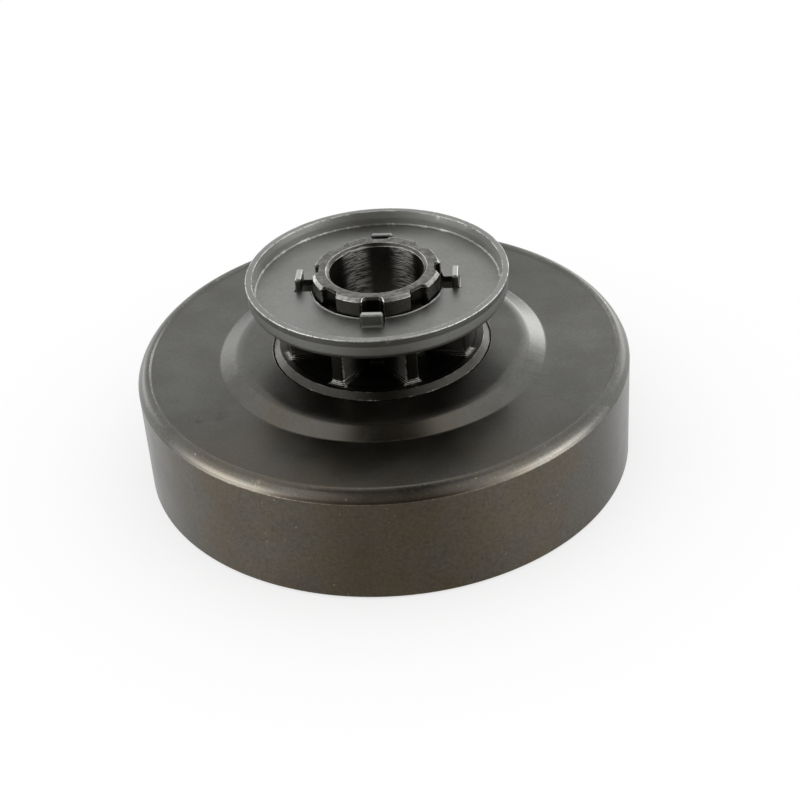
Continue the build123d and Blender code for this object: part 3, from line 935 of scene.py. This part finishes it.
def sprocket_steel(finish, sizes):
    """Dark hardened steel with bright worn edges, dark notches and a bored surface with fine scratches, shown as bare
    steel on the bore's sides as a painted highlight, and painted shade in the gaps, on the flange's front, on the
    teeth's lands and under the plate.
    """
    steel = SteelGraph("sprocket_steel")
    radius, height, around = (steel.turned[key] for key in ("Radius", "Height", "Around"))
    oxide = steel.group(
        "clouded_oxide",
        {
            "Vector": steel.place,
            "Scale": 160.0,
            "Oxide": rgba(finish.oxide),
            "Deep oxide": rgba(finish.oxide_deep),
            "Tint": rgba(finish.oxide_deep),
            "Tint share": 0.3,
            "Grain": 0.15,
        },
    ).outputs
    in_bore = steel.ramp(radius, sizes.bore_radius + 0.1 * MM, sizes.bore_radius + 0.3 * MM, 1, 0)
    out_of_gaps = steel.ramp(radius, sizes.root_radius + 3.5 * MM, sizes.tip_radius)
    on_hub = steel.ramp(height, plate_low.z, plate_low.z + 0.5 * MM)
    flange = drum_high.z + sizes.flange_stand
    on_foot = steel.math(
        "MULTIPLY",
        steel.ramp(height, flange + sizes.foot_fillet, flange + 0.8 * sizes.foot_fillet, 0.0, 0.75),
        steel.ramp(radius, sizes.root_radius + 2 * MM, sizes.root_radius + 4 * MM),
    )
    worn = steel.math("MULTIPLY", steel.wear, steel.math("MAXIMUM", steel.math("MAXIMUM", out_of_gaps, on_foot), on_hub))
    wear = steel.group(
        "edge_wear", {"Wear": worn, "Vector": steel.place, "Grain": 2400.0, "Reach": 0.85, "Breaks": 1.5}
    ).outputs["Mask"]
    on_top = steel.math(
        "MULTIPLY",
        steel.ramp(height, sprocket_high.z - 0.15 * MM, sprocket_high.z - 0.02 * MM),
        steel.ramp(radius, sizes.hub_radius + 0.3 * MM, sizes.hub_radius + 0.5 * MM, 1, 0),
    )
    chamfered = steel.math(
        "MULTIPLY",
        steel.ramp(height, sprocket_high.z - sizes.hub_chamfer, sprocket_high.z - sizes.hub_chamfer * 0.7),
        steel.ramp(radius, sizes.hub_radius - sizes.hub_chamfer, sizes.hub_radius - sizes.hub_chamfer * 0.8),
    )
    in_notch = steel.math(
        "MULTIPLY",
        steel.ramp(radius, sizes.hub_radius - 0.1 * MM, sizes.hub_radius - 0.45 * MM),
        steel.ramp(height, sprocket_high.z - 0.2 * MM, sprocket_high.z - 0.5 * MM),
    )
    in_notch = steel.math("MULTIPLY", in_notch, steel.math("SUBTRACT", 1.0, in_bore))
    in_gap = steel.math("MULTIPLY", steel.math("SUBTRACT", 1.0, out_of_gaps), steel.math("SUBTRACT", 1.0, on_hub))
    scratches = steel.group(
        "turning_marks", {"Along": height, "Around": around, "Lines": 5200.0, "Breaks": 3.6}
    ).outputs["Lines"]
    # Painted highlight: the bore's scratches show as bare steel only on its left and right sides, where the light bands
    # fall
    aside = steel.math("ABSOLUTE", steel.add("ShaderNodeSeparateXYZ", {"Vector": around}).outputs["X"])
    rubbed = steel.math("MULTIPLY", steel.ramp(aside, 0.15, 0.46), steel.ramp(aside, 0.56, 0.85, 1.0, 0.0))
    scratches_and_painted_highlight = steel.math("MULTIPLY", steel.ramp(scratches, 0.45, 0.56, 0.08, 1.0), steel.math("MULTIPLY", rubbed, in_bore))
    # Grime in the notches, and painted shade in the gaps between the teeth; the bore is darkened as well
    grime_and_painted_shade = steel.math("MAXIMUM", steel.math("MULTIPLY", in_notch, 0.9), steel.math("MULTIPLY", in_gap, 0.25))
    grime_and_painted_shade = steel.math("MAXIMUM", grime_and_painted_shade, steel.math("MULTIPLY", in_bore, 0.45))
    to_front = steel.math("MULTIPLY", steel.add("ShaderNodeSeparateXYZ", {"Vector": around}).outputs["Y"], -1.0)
    foot_end = sizes.tip_radius + sizes.foot_fillet
    # Painted shade on the flange beyond the teeth, towards the front
    on_flange = steel.math("MULTIPLY", steel.ramp(radius, foot_end, foot_end + 0.3 * MM), steel.ramp(to_front, 0.3, 0.9))
    grime_and_painted_shade = steel.math("MAXIMUM", grime_and_painted_shade, steel.math("MULTIPLY", on_flange, 0.6))
    # Painted shade on the teeth's lands, under the plate
    on_land = steel.math(
        "MULTIPLY",
        steel.ramp(radius, sizes.tip_radius - 0.25 * MM, sizes.tip_radius - 0.1 * MM),
        steel.ramp(radius, sizes.tip_radius + 0.3 * MM, sizes.tip_radius + 0.1 * MM),
    )
    grime_and_painted_shade = steel.math("MAXIMUM", grime_and_painted_shade, steel.math("MULTIPLY", on_land, 0.95))
    # Painted shade on the star just under the plate
    on_shoulder = steel.math(
        "MULTIPLY",
        steel.ramp(radius, sizes.hub_radius + 0.05 * MM, sizes.hub_radius + 0.15 * MM),
        steel.ramp(height, plate_low.z - 0.3 * MM, plate_low.z - 0.1 * MM),
    )
    grime_and_painted_shade = steel.math("MAXIMUM", grime_and_painted_shade, steel.math("MULTIPLY", on_shoulder, 0.95))
    # Painted shade on the star's upper part near the hub, where it shows through the plate's slots
    under_slot = steel.math(
        "MULTIPLY",
        steel.ramp(height, plate_low.z - 4.5 * MM, plate_low.z - 3.5 * MM),
        steel.ramp(radius, sizes.root_radius + 4.5 * MM, sizes.root_radius + 3 * MM),
    )
    under_slot = steel.math("MULTIPLY", under_slot, steel.math("SUBTRACT", 1.0, steel.math("MAXIMUM", on_hub, in_bore)))
    grime_and_painted_shade = steel.math("MAXIMUM", grime_and_painted_shade, steel.math("MULTIPLY", under_slot, 0.85))
    base = steel.mix(grime_and_painted_shade, oxide["Color"], rgba(finish.grime_and_shade))
    bare = steel.math("MAXIMUM", wear, scratches_and_painted_highlight)
    mottled = steel.ramp(steel.noise(steel.place, 800.0, 4.0, 0.65), 0.38, 0.62, 0.03, 0.26)
    hub_side = steel.math("MULTIPLY", on_hub, steel.math("SUBTRACT", 1.0, steel.math("MAXIMUM", in_notch, in_bore)))
    bare = steel.math("MAXIMUM", bare, steel.math("MAXIMUM", steel.math("MULTIPLY", on_top, mottled), steel.math("MULTIPLY", hub_side, 0.08)))
    uneven = steel.ramp(steel.noise(steel.place, 900.0, 3.0), 0.35, 0.6, 0.35, 0.75)
    bare = steel.math("MAXIMUM", bare, steel.math("MULTIPLY", chamfered, uneven))
    base = steel.mix(bare, base, rgba(finish.bare))
    marks = steel.group(
        "turning_marks", {"Along": steel.math("SUBTRACT", radius, height), "Around": around, "Lines": 6000.0, "Breaks": 4.0}
    ).outputs["Lines"]
    roughness = steel.math("ADD", finish.roughness - 0.08, steel.math("MULTIPLY", marks, 0.16))
    roughness = steel.math("ADD", roughness, steel.math("MULTIPLY", in_bore, steel.ramp(rubbed, 0.0, 1.0, 0.08, 0.3)))
    on_flank = steel.math(
        "MULTIPLY",
        steel.ramp(radius, sizes.root_radius + 2.5 * MM, sizes.tip_radius - 1 * MM),
        steel.ramp(radius, sizes.tip_radius - 0.1 * MM, sizes.tip_radius - 0.4 * MM),
    )
    on_flank = steel.math("MULTIPLY", on_flank, steel.ramp(height, flange + 0.5 * sizes.foot_fillet, flange + sizes.foot_fillet))
    on_flank = steel.math("MULTIPLY", on_flank, steel.math("SUBTRACT", 1.0, on_hub))
    roughness = steel.math("ADD", roughness, steel.math("MULTIPLY", on_flank, 0.25))
    roughness = steel.math("MAXIMUM", roughness, steel.math("MULTIPLY", steel.math("MULTIPLY", on_foot, wear), 1.1))
    bored = steel.group(
        "turning_marks", {"Along": height, "Around": around, "Lines": 5200.0, "Breaks": 2.0}
    ).outputs["Lines"]
    normal = steel.bump(steel.noise(steel.place, 4200.0, 3.0), 0.004 * MM, 0.5)
    normal = steel.bump(marks, 0.003 * MM, 0.5, normal)
    bored = steel.math("MULTIPLY", bored, steel.math("MULTIPLY", in_bore, steel.ramp(rubbed, 0.0, 1.0, 0.12, 1.0)))
    normal = steel.bump(bored, finish.bore_marks, 1.0, normal)
    steel.feed(base_color=base, roughness=roughness, normal=normal)
    return steel.material


def plate_steel(finish, sizes):
    """Satin grey sheet with a bright sheared and worn rim, painted shade on the lugs, in the slots and on the rim's
    outer wall, and worn lug tops that are partly a painted highlight.
    """
    steel = SteelGraph("plate_steel")
    radius, height, around = (steel.turned[key] for key in ("Radius", "Height", "Around"))
    satin = steel.group(
        "clouded_oxide",
        {
            "Vector": steel.place,
            "Scale": 110.0,
            "Oxide": rgba(finish.satin),
            "Deep oxide": rgba(finish.satin_deep),
            "Tint": rgba(finish.satin_deep),
            "Tint share": 0.2,
            "Grain": 0.05,
        },
    ).outputs
    wear = steel.group(
        "edge_wear", {"Wear": steel.wear, "Vector": steel.place, "Grain": 2200.0, "Reach": 0.68, "Breaks": 2.4}
    ).outputs["Mask"]
    floor = plate_low.z + sizes.sheet
    lug_top = floor + sizes.lug_height
    wall = sizes.radius - sizes.lip_flare

    # Where a point lies in the frame of its nearest lug: out along it and aside from its middle
    way = steel.add("ShaderNodeSeparateXYZ", {"Vector": around}).outputs
    turn = steel.math("PINGPONG", steel.math("ARCTAN2", way["Y"], way["X"]), math.pi / sizes.lug_count)
    out = steel.math("MULTIPLY", radius, steel.math("COSINE", turn))
    aside = steel.math("MULTIPLY", radius, steel.math("SINE", turn))
    half = sizes.lug_width / 2
    in_strip = steel.math(
        "MULTIPLY",
        steel.ramp(aside, half + sizes.lug_relief + 0.15 * MM, half + sizes.lug_relief, 0, 1),
        steel.ramp(out, slot_end(sizes) + 0.1 * MM, slot_end(sizes), 0, 1),
    )
    raised = steel.math("MULTIPLY", in_strip, steel.ramp(height, floor + 0.05 * MM, floor + 0.2 * MM))
    # Painted shade on the lugs: their inner faces and the lower parts of their ends
    inner_face = steel.ramp(out, sizes.lug_inner_radius + 0.3 * MM, sizes.lug_inner_radius + 0.1 * MM, 0, 1)
    low_end = steel.math(
        "MULTIPLY",
        steel.ramp(aside, half - 0.3 * MM, half - 0.1 * MM),
        steel.ramp(height, floor + 0.7 * sizes.lug_height, floor + sizes.lug_height, 1, 0.2),
    )
    painted_lug_shade = steel.math("MULTIPLY", raised, steel.math("MAXIMUM", inner_face, low_end))
    # Painted shade in the slots
    in_slot = steel.math("MULTIPLY", in_strip, steel.ramp(height, floor - 0.3 * MM, floor - 0.1 * MM, 1, 0))
    # Bare steel on the lugs' tops, partly wear and partly a painted highlight, weaker on the lug at the back
    lug_top_wear_and_highlight = steel.math("MULTIPLY", raised, steel.ramp(height, lug_top - 0.25 * MM, lug_top - 0.05 * MM))
    lug_top_wear_and_highlight = steel.math("MULTIPLY", lug_top_wear_and_highlight, steel.ramp(way["Y"], 0.5, 0.9, 0.7, 0.1))
    # Painted shade on the rim's outer wall
    outside = steel.math(
        "MULTIPLY", steel.ramp(radius, wall - 0.3 * MM, wall - 0.1 * MM), steel.ramp(height, plate_high.z - 0.1 * MM, plate_high.z - 0.3 * MM, 0, 1)
    )
    inside = steel.math(
        "MULTIPLY",
        steel.math("MULTIPLY", steel.ramp(radius, wall - sizes.sheet - 0.1 * MM, wall - sizes.sheet), steel.ramp(radius, wall - 0.6 * MM, wall - 0.7 * MM, 0, 1)),
        steel.ramp(height, floor + 0.3 * MM, floor + 0.5 * MM),
    )
    inside = steel.math("MULTIPLY", inside, steel.ramp(height, plate_high.z - 0.1 * MM, plate_high.z - 0.25 * MM, 0, 1))
    # Pits as specks and the painted shade, in the pit colour
    dark = steel.math("MAXIMUM", steel.math("MULTIPLY", steel.math("MAXIMUM", painted_lug_shade, in_slot), 0.9), steel.math("MULTIPLY", outside, 0.3))
    dark = steel.math("MAXIMUM", dark, steel.math("MULTIPLY", steel.specks(300.0, 0.08, 0.14), 0.7))
    base = steel.mix(dark, satin["Color"], rgba(finish.pit_and_shade))
    burr = steel.math(
        "MULTIPLY",
        steel.ramp(radius, sizes.hole_radius + sizes.burr_width, sizes.hole_radius + sizes.burr_width * 0.6),
        steel.ramp(height, floor + 0.02 * MM, floor + 0.06 * MM),
    )
    burr = steel.math("MULTIPLY", burr, steel.ramp(steel.noise(steel.place, 420.0, 2.0), 0.42, 0.5))
    bare = steel.math("MAXIMUM", wear, steel.math("MAXIMUM", burr, lug_top_wear_and_highlight))
    bare = steel.math("MAXIMUM", bare, steel.math("MULTIPLY", inside, 0.6))
    base = steel.mix(bare, base, rgba(finish.bare))
    grain = steel.noise(steel.place, 5200.0, 3.0)
    roughness = steel.math("ADD", finish.roughness - 0.06, steel.math("MULTIPLY", grain, 0.12))
    roughness = steel.math("MAXIMUM", roughness, steel.math("MULTIPLY", burr, 0.9))
    normal = steel.bump(grain, 0.006 * MM, 0.6)
    steel.feed(base_color=base, roughness=roughness, normal=normal)
    return steel.material


class CLUTCH_OT_drum(bpy.types.Operator):
    """Turn the drum with its rounded edge and pressed web"""

    bl_idname = "clutch_drum.drum"
    bl_label = "Drum"

    def execute(self, context):
        sizes = context.scene.drum_sizes
        finish = drum_steel(context.scene.drum_finish, sizes)
        piece = turned_piece("drum_shell", drum_corners(sizes), finish, sizes.columns, (0.05 * MM, 420.0), 3.0)
        settle(made_plain(piece), "clutch_drum")
        return {"FINISHED"}


class CLUTCH_OT_sprocket(bpy.types.Operator):
    """Cut the star sprocket with its base, hub and bore"""

    bl_idname = "clutch_drum.sprocket"
    bl_label = "Sprocket"

    def execute(self, context):
        sizes = context.scene.sprocket_sizes
        finish = sprocket_steel(context.scene.sprocket_finish, sizes)
        star = star_values(sizes)
        corners = sprocket_corners(sizes)
        piece = turned_piece("star_sprocket", corners, finish, sizes.columns, (0.05 * MM, 900.0), 7.0, star)
        settle(made_plain(piece), "sprocket")
        return {"FINISHED"}


class CLUTCH_OT_plate(bpy.types.Operator):
    """Press the cover plate with its slots and bent-up lugs"""

    bl_idname = "clutch_drum.plate"
    bl_label = "Cover plate"

    def execute(self, context):
        sizes = context.scene.plate_sizes
        finish = plate_steel(context.scene.plate_finish, sizes)
        piece = turned_piece("dished_plate", plate_corners(sizes), finish, sizes.columns, (0.06 * MM, 1100.0), 11.0)
        lug = new_piece("lug", lug_mesh(sizes))
        hub = context.scene.sprocket_sizes.hub_radius
        values = {
            "Lug": lug,
            "Count": sizes.lug_count,
            "Slot start": hub,
            "Slot end": slot_end(sizes),
            "Slot width": sizes.lug_width + 2 * sizes.lug_relief,
            "Slot height": plate_low.z,
            "Finish": finish,
        }
        add_nodes_modifier(piece, lug_ring_tree(), values)
        made_plain(piece)
        bpy.data.objects.remove(lug)
        settle(piece, "cover_plate")
        return {"FINISHED"}


def seen_ray(graph):
    """1 for the rays that show the background: to the camera, and in metal and glass."""
    light_path = graph.add("ShaderNodeLightPath").outputs
    seen = graph.math("MAXIMUM", light_path["Is Camera Ray"], light_path["Is Glossy Ray"])
    return graph.math("MAXIMUM", seen, light_path["Is Transmission Ray"])


def floor_material(light):
    """A white floor that keeps a soft shadow: part of its white is shaded and the rest is even."""
    material = bpy.data.materials.new("studio_floor")
    material.use_nodes = True
    graph = Graph(material.node_tree)
    graph.tree.nodes.clear()
    matt = graph.add("ShaderNodeBsdfDiffuse", {"Color": (1 - light, 1 - light, 1 - light, 1)})
    even = graph.add("ShaderNodeEmission", {"Strength": graph.math("MULTIPLY", seen_ray(graph), light)})
    both = graph.add("ShaderNodeAddShader", {0: matt, 1: even})
    graph.add("ShaderNodeOutputMaterial", {"Surface": both})
    return material


def stage_piece(name, material, corners):
    """A flat four-cornered piece of the stage."""
    mesh = bpy.data.meshes.new(name)
    mesh.from_pydata(corners, [], [(0, 1, 2, 3)])
    mesh.materials.append(material)
    piece = new_piece(name, mesh)
    return piece


def soft_card(name, corners, tone, fade, strength=1.0):
    """A card that shows only as a reflection in the steel. Its fade gives its share at each point."""
    material = bpy.data.materials.new(name)
    material.use_nodes = True
    graph = Graph(material.node_tree)
    graph.tree.nodes.clear()
    place = graph.add("ShaderNodeSeparateXYZ", {"Vector": graph.add("ShaderNodeTexCoord").outputs["Object"]}).outputs
    surface = graph.add(
        "ShaderNodeMixShader",
        {
            0: fade(graph, place),
            1: graph.add("ShaderNodeBsdfTransparent"),
            2: graph.add("ShaderNodeEmission", {"Color": rgba(tone), "Strength": strength}),
        },
    )
    graph.add("ShaderNodeOutputMaterial", {"Surface": surface})
    piece = stage_piece(name, material, corners)
    piece.visible_camera = False
    piece.visible_diffuse = False
    piece.visible_shadow = False
    return piece


class LightCard(NamedTuple):
    """Distance from the axis, half width, its solid part, and the heights between which the card is solid."""

    distance: float
    half_width: float
    half_solid: float
    heights: tuple


SIDE_CARD = LightCard(500 * MM, 270 * MM, 40 * MM, (-20 * MM, 0, 80 * MM, 260 * MM))
RIM_CARD = LightCard(560 * MM, 170 * MM, 60 * MM, (-20 * MM, 0, 110 * MM, 260 * MM))
STEP_CARD = LightCard(570 * MM, 190 * MM, 60 * MM, (50 * MM, 140 * MM, 210 * MM, 320 * MM))


def sideways_fade(solid, faded):
    """Fades a card towards its left and right."""
    return lambda graph, place: graph.ramp(graph.math("ABSOLUTE", place["X"]), solid, faded, 1.0, 0.0)


def tapered_fade(front, back, reach):
    """Fades a card towards its left and right, sooner at its back than at its front."""
    def fade(graph, place):
        half = graph.ramp(place["Y"], -reach / 4, reach / 8, front, back)
        return graph.ramp(graph.math("DIVIDE", graph.math("ABSOLUTE", place["X"]), half), 0.4, 1.0, 1.0, 0.0)
    return fade


def angle_fade(studio):
    """Fades a card by the angle from the front, seen from the axis: first to a rest and then to nothing."""
    def fade(graph, place):
        forward = graph.math("MULTIPLY", place["Y"], -1.0)
        angle = graph.math("ABSOLUTE", graph.math("ARCTAN2", place["X"], forward))
        near = graph.ramp(angle, studio.cloth_solid, studio.cloth_faded, 1.0, studio.cloth_rest)
        return graph.math("MULTIPLY", near, graph.ramp(angle, studio.cloth_faded, studio.cloth_end, 1.0, 0.0))
    return fade


def light_card(name, turn, card, strength):
    """A bright upright card that faces the axis at an angle from the front, with soft borders."""
    out = Vector((math.sin(turn), -math.cos(turn), 0)) * card.distance
    along = Vector((math.cos(turn), math.sin(turn), 0))
    side = along * card.half_width
    low = Vector((0, 0, card.heights[0]))
    high = Vector((0, 0, card.heights[3]))

    def fade(graph, place):
        across = graph.math("MULTIPLY", place["X"], along.x)
        across = graph.math("ADD", across, graph.math("MULTIPLY", place["Y"], along.y))
        sideways = graph.ramp(graph.math("ABSOLUTE", across), card.half_solid, card.half_width, 1.0, 0.0)
        upwards = graph.math(
            "MULTIPLY",
            graph.ramp(place["Z"], card.heights[0], card.heights[1]),
            graph.ramp(place["Z"], card.heights[2], card.heights[3], 1.0, 0.0),
        )
        return graph.math("MULTIPLY", sideways, upwards)

    corners = [out - side + low, out + side + low, out + side + high, out - side + high]
    return soft_card(name, corners, (1, 1, 1), fade, strength)


def softbox(name, centre, aim, width, height, power):
    """A soft area lamp that faces a point."""
    lamp = bpy.data.lights.new(name, "AREA")
    lamp.shape = "RECTANGLE"
    lamp.size = width
    lamp.size_y = height
    lamp.energy = power
    holder = bpy.data.objects.new(name, lamp)
    holder.location = centre
    holder.rotation_euler = (Vector(aim) - Vector(centre)).to_track_quat("-Z", "Y").to_euler()
    bpy.context.scene.collection.objects.link(holder)


def studio_world(strength):
    """White all round: plain white where it shows, and the sky's strength where it lights."""
    world = bpy.data.worlds.new("studio_world")
    world.use_nodes = True
    graph = Graph(world.node_tree)
    graph.tree.nodes.clear()
    seen = seen_ray(graph)
    level = graph.math("ADD", seen, graph.math("MULTIPLY", graph.math("SUBTRACT", 1.0, seen), strength))
    white = graph.add("ShaderNodeBackground", {"Color": (1, 1, 1, 1), "Strength": level})
    graph.add("ShaderNodeOutputWorld", {"Surface": white})
    bpy.context.scene.world = world


def studio_camera(studio):
    """The camera, turned so that a point on the axis falls on its pixel of the picture."""
    data = bpy.data.cameras.new("camera")
    data.lens = studio.lens
    data.clip_start = 0.01
    camera = bpy.data.objects.new("camera", data)
    bpy.context.scene.collection.objects.link(camera)
    back = Vector((0, -math.cos(studio.elevation), math.sin(studio.elevation)))
    right = Vector((1, 0, 0))
    up = back.cross(right)
    cos_roll, sin_roll = math.cos(studio.roll), math.sin(studio.roll)
    axes = Matrix((cos_roll * right + sin_roll * up, cos_roll * up - sin_roll * right, back)).transposed()
    focal = studio.lens / data.sensor_width * studio.picture_side
    centre = studio.picture_side / 2
    sight = Vector(((studio.aim_across - centre) / focal, (centre - studio.aim_down) / focal, -1))
    swing = sight.rotation_difference(Vector((0, 0, -1))).to_matrix()
    turn = Matrix.Rotation(studio.azimuth, 3, "Z")
    eye = Vector((0, 0, studio.aim_height)) + turn @ back * studio.distance
    camera.matrix_world = Matrix.Translation(eye) @ (turn @ axes @ swing).to_4x4()
    bpy.context.scene.camera = camera


class CLUTCH_OT_studio(bpy.types.Operator):
    """Set up the floor, the lamps, the cards and the camera"""

    bl_idname = "clutch_drum.studio"
    bl_label = "Studio"

    def execute(self, context):
        studio = context.scene.studio_settings
        context.scene.view_settings.view_transform = "Standard"
        studio_world(studio.sky)
        side = studio.floor_side
        ground = [(-side, -side, 0), (side, -side, 0), (side, side, 0), (-side, side, 0)]
        stage_piece("studio_floor", floor_material(studio.floor_light), ground)
        reach = studio.card_reach
        wide, top = studio.top_front, studio.top_height
        over = [(-wide, -reach, top), (-wide, reach / 3, top), (wide, reach / 3, top), (wide, -reach, top)]
        cards = [soft_card("top_card", over, studio.top_tone, tapered_fade(wide, studio.top_back, reach))]
        wide = studio.front_faded
        ahead = [(-wide, -reach, 0), (wide, -reach, 0), (wide, -reach, top), (-wide, -reach, top)]
        cards.append(soft_card("front_card", ahead, studio.front_tone, sideways_fade(studio.front_solid, wide)))
        lift = 0.2 * MM
        cloth = [(-reach, -reach, lift), (reach, -reach, lift), (reach, reach, lift), (-reach, reach, lift)]
        cards.append(soft_card("floor_cloth", cloth, studio.cloth_tone, angle_fade(studio)))
        aim = Vector((0, 0, studio.aim_height))
        turn = Matrix.Rotation(studio.azimuth, 3, "Z")
        for way, name in ((-1, "left"), (1, "right")):
            step_light = studio.step_light * (1 + way * studio.step_bias)
            cards += [
                light_card(name + "_side_card", way * studio.side_turn, SIDE_CARD, studio.side_light),
                light_card(name + "_rim_card", way * studio.rim_turn, RIM_CARD, studio.rim_light),
                light_card(name + "_step_card", way * studio.step_turn, STEP_CARD, step_light),
            ]
            lamp_place = Vector((way * studio.lamp_aside, -studio.lamp_ahead, studio.lamp_height))
            softbox(name + "_lamp", turn @ lamp_place, aim, studio.lamp_side, studio.lamp_side, studio.lamp_power)
        for piece in cards:
            piece.rotation_euler.z = studio.azimuth
        studio_camera(studio)
        return {"FINISHED"}


OPERATORS = (CLUTCH_OT_drum, CLUTCH_OT_sprocket, CLUTCH_OT_plate, CLUTCH_OT_studio)

SETTINGS = {
    "drum_sizes": DrumSizes,
    "sprocket_sizes": SprocketSizes,
    "plate_sizes": PlateSizes,
    "drum_finish": DrumFinish,
    "sprocket_finish": SprocketFinish,
    "plate_finish": PlateFinish,
    "studio_settings": StudioSettings,
}


class CLUTCH_PT_panel(bpy.types.Panel):
    """Lists the pieces and their settings"""

    bl_idname = "CLUTCH_PT_panel"
    bl_label = "Clutch drum"
    bl_space_type = "VIEW_3D"
    bl_region_type = "UI"
    bl_category = "Clutch drum"

    def draw(self, context):
        for operator in OPERATORS:
            self.layout.operator(operator.bl_idname)
        for name, group in SETTINGS.items():
            box = self.layout.box()
            box.label(text=group.__doc__)
            for field in group.__annotations__:
                box.prop(getattr(context.scene, name), field)


def register():
    for name, group in SETTINGS.items():
        bpy.utils.register_class(group)
        setattr(bpy.types.Scene, name, PointerProperty(type=group))
    for kind in (*OPERATORS, CLUTCH_PT_panel):
        bpy.utils.register_class(kind)


def unregister():
    for kind in (CLUTCH_PT_panel, *reversed(OPERATORS)):
        bpy.utils.unregister_class(kind)
    for name, group in reversed(SETTINGS.items()):
        delattr(bpy.types.Scene, name)
        bpy.utils.unregister_class(group)


def main():
    register()
    bpy.ops.clutch_drum.drum()
    bpy.ops.clutch_drum.sprocket()
    bpy.ops.clutch_drum.plate()
    bpy.ops.clutch_drum.studio()


if __name__ == "__main__":
    main()
